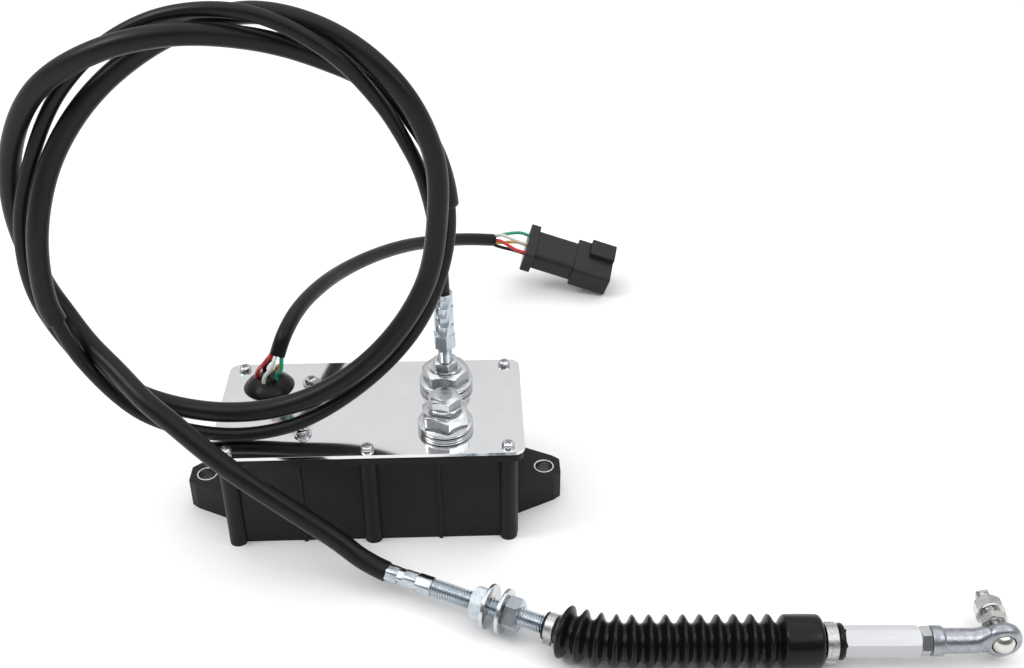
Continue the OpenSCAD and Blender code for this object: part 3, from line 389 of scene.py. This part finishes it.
# ---------- wires ----------
plugBack = Vector((96, 239.8, 23.7))
turnBy = lambda angle, axis: Matrix.Rotation(math.radians(angle), 3, axis)
plugTurn = turnBy(-7.9, "Z") @ turnBy(16.6, "Y") @ turnBy(17.2, "X")
plugDir, plugLeft, plugUp = (plugTurn.col[i].copy() for i in range(3))
holeStep, upperRow, lowerRow, plugMid = 4.4, 12.1, 6.1, 9.1
plugHole = lambda q: plugBack + q * holeStep * plugLeft + (upperRow if q % 2 == 0 else lowerRow) * plugUp

def bundle(c, d, v, a, radius=2.6):
    # point on a bundle of wires round c, which runs along d, at angle a from v
    s = (v - v.dot(d) * d).normalized()
    return c + radius * (cos(a) * s + sin(a) * d.cross(s))

levelLeft = lambda d: Vector((-d.y, d.x, 0))
wireRadius, wireTurn, wireStart, leadRadius = 1.2, 72, 186, 6.2
wireAngle = lambda k: wireTurn * k + wireStart
leadUp = lambda k, z: Vector((-60 + leadRadius * cos(wireAngle(k)), 22 + leadRadius * sin(wireAngle(k)), z))
# each wire: place round the grommet, hole in the plug, material, slot and route inside the box
wires = {
    "red": (0, -2, "redPvc", "red_pvc", [(-77.2, -9, 35.5), (-77.2, -9, 54), (-70, 8, 54.5), leadUp(0, 56)]),
    "white": (1, 0, "whitePvc", "white_pvc", [(77.3, 0, 24), (77.3, 4, 15), (76.5, 27, 22), (66, 30.5, 47),
                                              (-50, 30.5, 47), leadUp(1, 55)]),
    "black": (4, -1, "blackPvc", "cable_black", [(-77.2, 9, 35.5), (-77.2, 9, 50), (-74, 26, 54), leadUp(4, 57)]),
    "green": (2, 2, "greenPvc", "green_pvc", [(77.3, 5, 24), (76, 23, 35), (66, 24, 45), (-40, 26, 46),
                                              leadUp(2, 54)]),
    "yellow": (3, 1, "yellowPvc", "yellow_pvc", [(77.3, -5, 24), (76, -26, 40), (70, -26, 56), (70, 29, 50),
                                                 (-50, 29.5, 50), leadUp(3, 55)]),
}
outDir = (sheathPoints[1] - sheathPoints[0]).normalized()
endDir = (sheathPoints[-1] - sheathPoints[-2]).normalized()
near = sheathPoints[0] - 5 * outDir
nearDir = ((near - Vector((-60, 22, 74))).normalized() + outDir).normalized()
fan = sheathPoints[-1] + 5 * endDir
fanDir = (endDir + (plugBack + plugMid * plugUp - 7 * plugDir - fan).normalized()).normalized()
alongX = Vector((1, 0, 0))
for color, (k, q, mat, slotName, inside) in wires.items():
    a, g = wireAngle(k), 90 - 36 * q if q % 2 == 0 else 270 + 36 * q
    rise = spline([leadUp(k, 61), leadUp(k, 73), bundle(near, nearDir, alongX, a, 5),
                   bundle(sheathPoints[0] + 1.5 * outDir, outDir, alongX, a)], 8)
    inner = spline([Vector(p) for p in inside] + [leadUp(k, 61)], 4)
    run = spline([bundle(sheathPoints[-1] - 1.5 * endDir, endDir, levelLeft(endDir), g),
                  bundle(fan, fanDir, levelLeft(fanDir), g, 4.5),
                  plugHole(q) - 7 * plugDir, plugHole(q), plugHole(q) + 8.5 * plugDir], 8)
    curvePiece("lead_" + color, [inner[:-1] + rise, run], wireRadius, mat, "casing", slotName, ["wire_" + color],
               sides=4)
print("stage: wires")

# ---------- near fitting ----------
fitting = join(thread(66.5, 91.2, 4.0, 0.65, 1.25),
               hexNut(91, 11.5, 9, 2, roll=8),
               crimped(99.6, [(6.6, 5.75, 10, 6), (5.8, 5.45, 38, 6), (6.2, 5.6, 12, 6), (5.0, 5.3, 42, 6)]),
               turned([(123, 5.0), (124.4, 5.15), (126.2, 5.2), (126.4, 5.0), (126.4, 3.9), (122.6, 3.9)],
                      closed=True))
rearPort, frontPort = upright(*port), upright(port[0], -port[1])
meshPiece("near_fitting", *fitting, "blueZinc", "casing", "blue_zinc", ["conduit_stud"], place=rearPort)
washerLevels, nutLevel, nutTop, lockTop, boltSeat = (64, 66.7), 68.3, 76.3, 77.8, 80.1
for place, roll, name in ((rearPort, 23, "rear"), (frontPort, 7, "front")):
    stack = join(*[moved(washer(z, 1.6, 15.25, 8), place) for z in washerLevels])
    meshPiece("port_washers_" + name, *stack, "zinc", "casing", "zinc", ["port_washers"])
    meshPiece("port_nut_" + name, *hexNut(nutLevel, 24, 8, 8.1, roll=roll), "zinc", "casing", "zinc",
              ["port_nuts"], place=place)
topRing = turned([(nutTop, 4.1), (nutTop, 9.3), (76.5, 9.5), (77.3, 9.5), (lockTop, 9.1), (lockTop, 4.1)],
                 closed=True)
meshPiece("port_top_ring", *topRing, "zinc", "casing", "zinc", ["port_ring"], place=rearPort)
meshPiece("stud_locking_nut", *hexNut(lockTop, 13, 4, 4.0, roll=12), "zinc", "casing", "zinc",
          ["stud_nut_rear"], place=rearPort)
meshPiece("blanking_nut", *hexNut(nutTop, 17, 2.6, 5, roll=15), "zinc", "casing", "zinc", ["blank_nut"],
          place=frontPort)
bolt = join(turned([(61.2, 4.9), (61.6, 5), (79, 5)]),
            turned([(78.9, 9.2), (79.1, 9.6), (79.9, 9.6), (boltSeat, 9.3)]),
            hexNut(boltSeat, 16, 5, 2.2, (False, True), roll=15),
            turned([(boltSeat, 7.6), (85.2, 7.4), (85.5, 6.6), (85.6, 4), (85.6, 0.2)]))
meshPiece("blanking_bolt", *bolt, "zinc", "casing", "zinc", ["blank_bolt"], place=frontPort)

# ---------- screws ----------
def panScrew(place, roll, length, radius=3.6, height=2.8):
    # pan head with a cross recess, whose radius by angle steps down towards its floor
    n = 96
    ring = lambda z, r: loopAt(z, lambda a: r, n)

    def cross(a, arm, half):
        away = abs((a - roll) % 90)
        d = min(away, 90 - away)
        return min(arm, half / max(1e-3, sin(d))) if d > 0.01 else arm

    crossRing = lambda z, arm, half: loopAt(z, lambda a: cross(a, arm, half), n)
    loops = [ring(-length, 1.5), ring(-length, 1.9), ring(0, 1.95), ring(0, radius - 0.15), ring(0.25, radius),
             ring(height * 0.42, radius), ring(height * 0.72, radius * 0.93), ring(height * 0.92, radius * 0.78),
             ring(height, radius * 0.6), crossRing(height, 1.95, 0.5), crossRing(height - 0.8, 1.5, 0.42),
             crossRing(height - 1.5, 0.9, 0.36), ring(height - 1.6, 0.3)]
    return moved(rings(loops), place)

coverTop, strapWasherTop = 64, 65
screwAt = lambda x, y, level: upright(x, y) @ Matrix.Translation((level, 0, 0))
coverRows = ((-76, -38.5, 20), (-76, 38.5, 65), (0, -38.5, 5), (0, 38.5, 48), (76, -38.5, 33), (76, 38.5, 80))
coverScrews = join(*[panScrew(screwAt(x, y, coverTop), roll, 14) for x, y, roll in coverRows])
meshPiece("cover_screw_set", *coverScrews, "zinc", "casing", "zinc", ["cover_screws"], angle=28)
strapScrews = join(*[panScrew(screwAt(-36, y, strapWasherTop), roll, 6) for y, roll in ((-24, 25), (24, 60))])
meshPiece("strap_screw_set", *strapScrews, "zinc", "casing", "zinc", ["strap_screws"], angle=28)
print("stage: fasteners")

# ---------- far fitting ----------
far = join(crimped(hose - 0.5, [(7.5, 5.0, 5, 6), (4, 4.6, 35, 6), (7.5, 5.1, 8, 6), (8.4, 5.25, 38, 6)]),
           thread(threadStart, 0.8, 4.9, 0.85, 1.5),
           turned([(0.9, 2.2), (0.9, 4.6), (swivelAt - 10, 4.6), (swivelAt - 9.5, 6.6), (swivelAt + 1, 6.6),
                   (swivelAt + 1.3, 5.5), (swivelAt - 1, 5.5), (swivelAt - 3, 4.7), (swivelAt - 4.5, 3.3),
                   (swivelAt - 5.1, 2.2)], closed=True))
hub = meshPiece("far_fitting", *far, "blueZinc", "casing", "blue_zinc", ["hub"], place=onHub)
nutPair = join(hexNut(-40, 16, 8, 4.9, roll=20), hexNut(-21.5, 16, 8, 4.9, roll=55))
hubNuts = meshPiece("hub_nut_pair", *nutPair, "blueZinc", "casing", "blue_zinc", ["hub_nuts"], place=onHub)
washerPair = join(washer(-32, 2, 12, 4.9, 0.4), washer(-23.5, 2, 12, 4.9, 0.4))
hubWashers = meshPiece("hub_washer_pair", *washerPair, "zinc", "casing", "zinc", ["hub_washers"], place=onHub)

def earClamp(start, width, inner, outer, lug):
    # flat band with a pressed ear and a stepped joint
    n = 72
    end = start + width
    band = turned([(start, inner), (start, outer - 0.1), (start + 0.15, outer), (end - 0.15, outer),
                   (end, outer - 0.1), (end, inner)], n, closed=True)
    ear = [(x, y, z) for x in (start + 0.25, end - 0.25)
           for y, z in ((-lug, outer - 0.5), (-lug * 0.55, outer + 1.9), (lug * 0.55, outer + 1.9),
                        (lug, outer - 0.5))]
    earFaces = [(0, 1, 5, 4), (1, 2, 6, 5), (2, 3, 7, 6), (0, 4, 7, 3), (0, 3, 2, 1), (4, 5, 6, 7)]
    tail = turned([(start + 0.5, outer - 0.05), (start + 0.6, outer + 0.45), (end - 0.6, outer + 0.45),
                   (end - 0.5, outer - 0.05)], n, shape=lambda r, a: r if 195 < a < 262 else min(r, outer - 0.06))
    return join(band, (ear, earFaces), tail)

rolled = lambda place, angle: place @ Matrix.Rotation(math.radians(angle), 4, "X")
clampA = meshPiece("hub_boot_clamp", *earClamp(1.4, 4.7, 6.4, 7.2, 2.6), "clampSteel", "casing", "zinc",
                   ["boot_clamp_hub"], place=rolled(onHub, 125))
meshPiece("rod_boot_clamp", *earClamp(bootNeck + 1.6, 5.8, 8, 9.2, 3.2), "clampSteel", "rod", "zinc",
          ["boot_clamp_rod"], place=rolled(onRod, 150))

# ---------- boot ----------
def bootFrame(s):
    # place and direction of the boot's axis at length s from the hub's tip
    s1, s2 = neck + pitch / 2, neck + pitch * 4.5
    radius = (s2 - s1) / math.radians(rodAngle - hubAngle)
    if s <= s1:
        return hubTip + s * hubDir, hubAngle
    a = hubAngle + (rodAngle - hubAngle) * min(1, (s - s1) / (s2 - s1))
    base = hubTip + s1 * hubDir
    p = base + radius * Vector((sin(a) - sin(hubAngle), cos(hubAngle) - cos(a), 0))
    if s > s2:
        p = p + (s - s2) * rodDir
    return p, a

def bootLoops(profile, n=56):
    loops = []
    for s, r in profile:
        p, a = bootFrame(s)
        side = Vector((-sin(a), cos(a), 0))
        loops.append([tuple(p + r * (cos(360 * i / n) * side + Vector((0, 0, sin(360 * i / n)))))
                      for i in range(n)])
    return loops

def foldRadius(u):
    # rounded peak, tighter valley
    w = 0.5 - 0.5 * math.cos(2 * math.pi * u)
    return 9.3 + 4.45 * w ** 1.25

steps = 14
bentFolds = 4
nearProfile = [(0.9, 5.0), (0.1, 5.4), (0, 6.0), (0.05, 6.7), (0.35, 7.1), (0.8, 7.2), (1.1, 7.0), (1.3, 6.45),
               (5.9, 6.45), (6.25, 6.9)]
for k in range(bentFolds * steps + 1):
    u = k / steps
    r = foldRadius(u % 1 if k < bentFolds * steps else 0)
    if u < 0.5:
        r = 7.6 + (foldRadius(0.5) - 7.6) * (0.5 - 0.5 * math.cos(2 * math.pi * u)) ** 0.8
    nearProfile.append((neck + pitch * u, r))
bootNear = meshPiece("boot_near_folds", *rings(bootLoops(nearProfile), caps=False), "rubber", None, "rubber",
                     ["boot"], angle=60)
midProfile = [(neck + pitch * k / steps, foldRadius((k / steps) % 1))
              for k in range(bentFolds * steps, folds * steps + 1)]
bootMid = meshPiece("boot_sliding_folds", *rings(bootLoops(midProfile), caps=False), "rubber", "sleeve", "rubber",
                    ["boot"], angle=60)
endS = neck + pitch * folds
cuffRows = ((0, 9.3), (0.6, 9.7), (1.6, 11.3), (2.6, 12.8), (3.4, 13.35), (4.4, 13.55), (12, 13.6), (19.4, 13.5),
            (20.6, 13.2), (21.5, 12.4), (22.0, 11.4), (22.4, 8.7), (23.0, 8.05), (29.6, 8.05), (30.2, 8.5),
            (30.6, 9.05), (31.4, 9.25), (32.4, 9.05), (32.9, 8.3), (32.9, 7.0), (32.3, 6.2))
cuffLoops = bootLoops([(endS + s, r) for s, r in cuffRows])
meshPiece("boot_cuff", *rings(cuffLoops, caps=False), "rubber", "rod", "rubber", ["boot"], angle=60)
print("stage: boot")

# ---------- rod and ball joint ----------
hexRod = join(hexNut(bootEnd, 14, 38, 4.2, (True, True), roll=30),
              turned([(bootNeck - 2, 5.7), (bootNeck - 1.7, 6), (bootEnd + 0.5, 6)]))
meshPiece("hexagon_rod", *hexRod, "aluminium", "rod", "aluminium", ["hex_rod"], place=onRod)
meshPiece("rod_jam_nut", *hexNut(jam, 13, 5.5, 4, roll=55), "zinc", "rod", "zinc", ["jam_nut"], place=onRod)

# shank that swells and flattens into the eye: place along the rod, half height, half width
n = 48
sections = [(socket, 7.3, 7.3), (socket + 0.4, 7.7, 7.7), (socket + 5.3, 7.75, 7.75), (socket + 6.0, 7.3, 7.3),
            (socket + 6.6, 6.5, 6.5), (socket + 9, 6.35, 6.35), (socket + 17, 6.3, 6.3), (eye - 15.5, 6.3, 6.2),
            (eye - 13, 6.5, 6.0), (eye - 11, 6.9, 5.7), (eye - 9, 7.5, 5.3), (eye - 7.6, 7.4, 4.6)]
shank = rings([[(x, wide * cos(360 * i / n) + (0.6 if x > eye - 12 else 0), high * sin(360 * i / n))
                for i in range(n)] for x, high, wide in sections])
eyeBody = turned([(-3.2, 6.15), (-3.4, 6.5), (-3.3, 7.6), (-2.6, 8.9), (-1.2, 9.8), (0.6, 10.05), (2.4, 9.8),
                  (3.7, 8.8), (4.2, 7.4), (4.2, 5.3), (3.4, 5.7), (0, 6.6), (-2.4, 6.2)], 72, closed=True)
eyePlaced = moved(eyeBody, Matrix.Translation((eye, 0, 0)) @ Matrix.Rotation(math.radians(90), 4, "Z"))
meshPiece("rod_end_housing", *join(shank, eyePlaced), "castGrey", "rod", "cast_grey", ["rod_end"], angle=45,
          place=onRod)
ballProfile = [(-6.5 * cos(t), max(0.05, 6.5 * sin(t))) for t in range(0, 153, 6)]
studSolid = join(turned(ballProfile + [(6.0, 3.0), (9.6, 3.0)]), hexNut(9.4, 13, 4.6, 2.5, roll=8),
                 turned([(9.3, 2.9), (9.4, 5.6), (14, 5.6), (14.1, 2.9)]),
                 thread(13.9, 32.6, 3.95, 0.6, 1.25), turned([(32.4, 3.4), (33, 2.9), (33, 0.05)]))
meshPiece("ball_and_stud", *studSolid, "nickel", "stud", "nickel", ["ball_stud"], place=onStud)
meshPiece("stud_plain_washer", *washer(17, 1.8, 7.6, 3.95, 0.35), "zinc", "stud", "zinc", ["stud_washer"],
          place=onStud)
meshPiece("stud_end_nut", *hexNut(18.8, 13, 6.5, 3.95, roll=20), "zinc", "stud", "zinc", ["stud_nut"],
          place=onStud)
print("stage: rod end")

# ---------- plug ----------
def roundedBlock(x0, x1, y0, y1, z0, z1, corner, edge, pocket=None, steps=5):
    # block on +X with rounded long corners and softened ends; pocket is (y0, y1, z0, z1, floor)
    def ring(x, grow, box, r):
        a0, a1, b0, b1 = box
        return [(x, cy + (r + grow) * cos(start + 90 * k / steps), cz + (r + grow) * sin(start + 90 * k / steps))
                for cy, cz, start in ((a1 - r, b1 - r, 0), (a0 + r, b1 - r, 90), (a0 + r, b0 + r, 180),
                                      (a1 - r, b0 + r, 270))
                for k in range(steps + 1)]
    outer = (y0, y1, z0, z1)
    ends = ((x0, -edge), (x0 + edge * 0.3, -edge * 0.3), (x0 + edge, 0), (x1 - edge, 0),
            (x1 - edge * 0.3, -edge * 0.3), (x1, -edge))
    loops = [ring(x, grow, outer, corner) for x, grow in ends]
    if pocket:
        hole, floor = pocket[:4], pocket[4]
        loops += [ring(x, grow, hole, corner - 1) for x, grow in ((x1, 0.3), (x1 - 0.3, 0), (floor, 0))]
    return rings(loops)

def evenNormals(obj):
    even = obj.modifiers.new("even", "WEIGHTED_NORMAL")
    even.weight = 100
    even.keep_sharp = True

onPlug = Matrix.Translation(plugBack) @ plugTurn.to_4x4()
halfPlug, plugHeight, plugEnd = 16.3, 18.2, 65
bodyBlocks = join(roundedBlock(0, 7.2, -halfPlug, halfPlug, 0, plugHeight, 1.6, 0.5),
                  roundedBlock(7, 43, -13.8, 13.8, 1.3, 16.9, 3.8, 0.3))
connectorBody = meshPiece("connector_body", *bodyBlocks, "greyPlastic", "casing", "grey_plastic", ["plug_body"],
                          place=onPlug)
shellBlocks = join(roundedBlock(37, plugEnd, -halfPlug, halfPlug, 0, plugHeight, 2.6, 0.5,
                                (-13.3, 13.3, 2.3, 15.9, 43.1)),
                   roundedBlock(46.5, plugEnd, 1, 15.8, 17, 22, 0.9, 0.4))
connectorShell = meshPiece("connector_shell", *shellBlocks, "greyPlastic", "casing", "grey_plastic",
                           ["plug_shell"], place=onPlug)
for piece in (connectorBody, connectorShell):
    evenNormals(piece)
print("stage: plug")

# ---------- frame nodes that stay ----------
# material and width of the rounded edges
finishes = {
    "housing": ("blackPlastic", 0.5), "ear_bushes": ("zinc", 0.25), "gasket": ("gasketRubber", 0.15),
    "cover_plate": ("mirrorSteel", 0.3), "strap_washers": ("zinc", 0.15), "motor_strap": ("steel", 0.2),
    "motor_pad": ("gasketRubber", 0.3), "motor": ("steel", 0.6), "motor_end_bell": ("greyPlastic", 0.3),
    "gearhead": ("steel", 0.4), "gearhead_screws": ("zinc", 0.15), "bracket": ("steel", 0.2),
    "output_shaft": ("steel", 0.2), "drum": ("brass", 0.2), "drum_key": ("steel", 0.1), "wire_end": ("steel", 0),
    "shaft_bush": ("brass", 0.2), "position_sensor": ("greyPlastic", 0.3), "sensor_screws": ("zinc", 0.15),
    "core_wire": ("steel", 0), "port_locknuts": ("zinc", 0.3), "port_bush_rear": ("zinc", 0.3),
    "port_bush_front": ("zinc", 0.3), "port_seals": ("gasketRubber", 0.2), "swivel_sleeve": ("steel", 0.1),
    "slide_rod": ("steel", 0.1), "grommet": ("rubber", 0.25), "plug_pins": ("brass", 0.1),
}
for nodeName, (mat, edge) in finishes.items():
    obj = nodes[nodeName]
    for slotIndex in range(max(1, len(obj.material_slots))):
        if len(obj.material_slots) <= slotIndex:
            obj.data.materials.append(materials[mat])
        else:
            obj.material_slots[slotIndex].material = materials[mat]
    weld = obj.modifiers.new("weld", "WELD")
    weld.merge_threshold = 1e-6
    planar = obj.modifiers.new("planar", "DECIMATE")
    planar.decimate_type = "DISSOLVE"
    planar.angle_limit = math.radians(0.4)
    if edge:
        rounded = obj.modifiers.new("rounded", "BEVEL")
        rounded.width = edge * MM
        rounded.segments = 3
        rounded.limit_method = "ANGLE"
        rounded.angle_limit = math.radians(38)
        evenNormals(obj)
print("stage: frame pieces")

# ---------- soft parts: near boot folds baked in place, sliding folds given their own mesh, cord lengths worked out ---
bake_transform(bootNear)
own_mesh(bootMid)
lineLength(cableLine) * MM
lineLength(sheathLine) * MM

# ---------- studio ----------
floorMesh = bpy.data.meshes.new("floor")
bm = bmesh.new()
bmesh.ops.create_grid(bm, x_segments=2, y_segments=2, size=60)
bm.to_mesh(floorMesh)
bm.free()
floor = bpy.data.objects.new("floor", floorMesh)
floor.location = (0.06, 0, 0)
bpy.context.scene.collection.objects.link(floor)
paint = bpy.data.materials.new("floor")
paint.use_nodes = True
paintShader = paint.node_tree.nodes["Principled BSDF"]
paintShader.inputs["Base Color"].default_value = (0.97, 0.97, 0.97, 1)
paintShader.inputs["Roughness"].default_value = 0.8
floorMesh.materials.append(paint)
world = bpy.data.worlds.new("studio")
world.use_nodes = True
tree = world.node_tree
sky = tree.nodes["Background"]
direction = tree.nodes.new("ShaderNodeTexCoord")
parts = tree.nodes.new("ShaderNodeSeparateXYZ")
tree.links.new(direction.outputs["Generated"], parts.inputs["Vector"])
# brightness by height, seen in front of and behind the object
frontStops = ((0.0, 1.0), (0.10, 0.95), (0.16, 0.18), (0.50, 0.2), (0.70, 0.3), (0.74, 0.3), (1.0, 0.3))
backStops = ((0.0, 1.0), (0.10, 0.90), (0.20, 0.50), (0.42, 0.74), (0.62, 0.9), (0.70, 0.9), (0.74, 0.3),
             (1.0, 0.3))
shades = []
for stops in (frontStops, backStops):
    ramp = tree.nodes.new("ShaderNodeValToRGB")
    for element, (height, value) in zip(ramp.color_ramp.elements, (stops[0], stops[-1])):
        element.position = height
        element.color = (value, value, value, 1)
    for height, value in stops[1:-1]:
        ramp.color_ramp.elements.new(height).color = (value, value, value * 1.01, 1)
    tree.links.new(parts.outputs["Z"], ramp.inputs["Fac"])
    shades.append(ramp.outputs["Color"])
depth = tree.nodes.new("ShaderNodeMapRange")
depth.inputs["From Min"].default_value = -0.8
depth.inputs["From Max"].default_value = 0.4
tree.links.new(parts.outputs["Y"], depth.inputs["Value"])
shaded = tree.nodes.new("ShaderNodeMix")
shaded.data_type = "RGBA"
tree.links.new(depth.outputs["Result"], shaded.inputs["Factor"])
tree.links.new(shades[0], shaded.inputs[6])
tree.links.new(shades[1], shaded.inputs[7])
tree.links.new(shaded.outputs[2], sky.inputs["Color"])
sky.inputs["Strength"].default_value = 1.0
bpy.context.scene.world = world
overhead = bpy.data.lights.new("overhead", "SUN")
overhead.angle = math.radians(90)
overhead.energy = 2.0
bpy.context.scene.collection.objects.link(bpy.data.objects.new("overhead", overhead))
lampTarget = Vector((0.05, 0, 0.05))
for name, place, energy in (("key", (-0.9, -0.2, 1.1), 5), ("fill", (0.9, -0.5, 0.9), 1.6)):
    data = bpy.data.lights.new(name, "AREA")
    data.shape = "DISK"
    data.size = 0.5
    data.energy = energy
    lamp = bpy.data.objects.new(name, data)
    lamp.location = place
    lamp.rotation_euler = (lampTarget - Vector(place)).to_track_quat("-Z", "Y").to_euler()
    bpy.context.scene.collection.objects.link(lamp)
bpy.context.scene.view_settings.view_transform = "Standard"
print("stage: studio")
